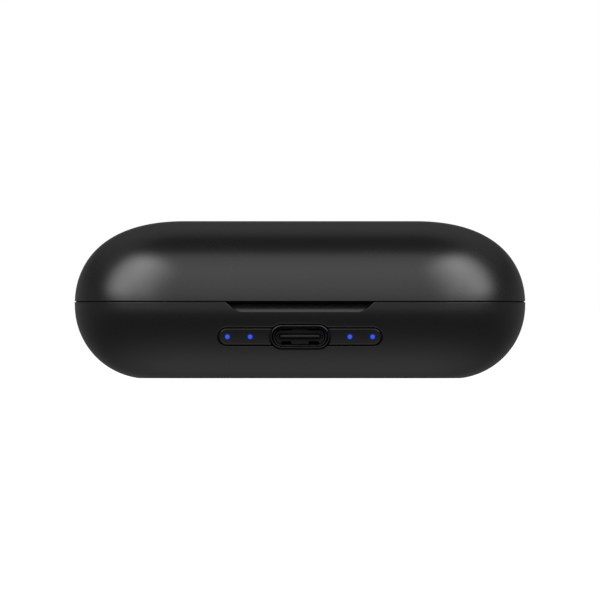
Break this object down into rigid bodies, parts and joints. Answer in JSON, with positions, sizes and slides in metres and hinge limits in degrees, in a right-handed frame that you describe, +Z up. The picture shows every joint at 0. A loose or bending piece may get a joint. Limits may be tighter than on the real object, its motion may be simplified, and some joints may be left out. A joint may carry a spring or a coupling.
{
  "type": "wireless earbuds charging case",
  "caption": "Pill-shaped charging case for wireless earbuds, with a hinged domed lid, finger scoop, sculpted pockets with sprung contacts, and a port trim with indicator lights.",
  "frame": {"origin": "under the middle of the case, on the surface that it stands on", "axes": "+X along the case to its right, -Y out of the front with the port, +Z up"},
  "size_m": [0.074, 0.036, 0.0258],
  "materials": {
    "shell_black": "satin moulded, fine grain",
    "trim_black": "smooth moulded",
    "liner_black": "fine matt moulded",
    "light_blue": "clear rod, lit from behind",
    "socket_steel": "dark drawn steel",
    "pin_steel": "ground steel",
    "contact_gold": "gold plated",
    "nickel": "nickel plated",
    "board_green": "solder mask",
    "chip_black": "moulded epoxy",
    "led_white": "clear resin",
    "cell_foil": "laminated foil pouch",
    "foam_black": "closed-cell foam",
    "lead_red": "silicone insulation",
    "lead_black": "silicone insulation",
    "nylon_cream": "moulded nylon"
  },
  "bodies": {
    "base": {"base_shell": "shell_black", "port_trim": "trim_black", "light_pipe_1": "light_blue", "light_pipe_2": "light_blue", "light_pipe_3": "light_blue", "light_pipe_4": "light_blue", "usb_shell": "socket_steel", "usb_tongue": "trim_black", "main_board": "board_green", "board_screw_1": "nickel", "board_screw_2": "nickel", "board_screw_3": "nickel", "board_screw_4": "nickel", "led_1": "led_white", "led_2": "led_white", "led_3": "led_white", "led_4": "led_white", "charge_controller": "chip_black", "power_inductor": "chip_black", "hall_sensor": "chip_black", "battery_socket": "nylon_cream", "battery_pad": "foam_black", "battery_cell": "cell_foil", "battery_lead_red": "lead_red", "battery_lead_black": "lead_black", "cradle": "liner_black", "contact_board_left": "board_green", "contact_board_right": "board_green", "bud_magnet_left": "nickel", "bud_magnet_right": "nickel", "base_magnet_left": "nickel", "base_magnet_right": "nickel", "pogo_barrel_1": "contact_gold", "pogo_barrel_2": "contact_gold", "pogo_barrel_3": "contact_gold", "pogo_barrel_4": "contact_gold", "pogo_spring_1": "pin_steel", "pogo_spring_2": "pin_steel", "pogo_spring_3": "pin_steel", "pogo_spring_4": "pin_steel", "hinge_pin": "pin_steel"},
    "lid": {"lid_shell": "shell_black", "lid_liner": "liner_black", "lid_magnet_left": "nickel", "lid_magnet_right": "nickel"},
    "contact_1": {"pogo_plunger_1": "contact_gold"},
    "contact_2": {"pogo_plunger_2": "contact_gold"},
    "contact_3": {"pogo_plunger_3": "contact_gold"},
    "contact_4": {"pogo_plunger_4": "contact_gold"}
  },
  "joints": [
    {"name": "lid_hinge", "type": "hinge", "parent": "base", "child": "lid", "pos_m": [0, 0.01695, 0.0125], "axis": [-1, 0, 0], "range_deg": [0, 100]},
    {"name": "contact_press_1", "type": "slide", "parent": "base", "child": "contact_1", "axis": [0, 0, -1], "range_m": [0, 0.0007], "stiffness_N_per_m": 600, "springref_m": -0.0004, "deforming": ["pogo_spring_1"]},
    {"name": "contact_press_2", "type": "slide", "parent": "base", "child": "contact_2", "axis": [0, 0, -1], "range_m": [0, 0.0007], "stiffness_N_per_m": 600, "springref_m": -0.0004, "deforming": ["pogo_spring_2"]},
    {"name": "contact_press_3", "type": "slide", "parent": "base", "child": "contact_3", "axis": [0, 0, -1], "range_m": [0, 0.0007], "stiffness_N_per_m": 600, "springref_m": -0.0004, "deforming": ["pogo_spring_3"]},
    {"name": "contact_press_4", "type": "slide", "parent": "base", "child": "contact_4", "axis": [0, 0, -1], "range_m": [0, 0.0007], "stiffness_N_per_m": 600, "springref_m": -0.0004, "deforming": ["pogo_spring_4"]}
  ]
}
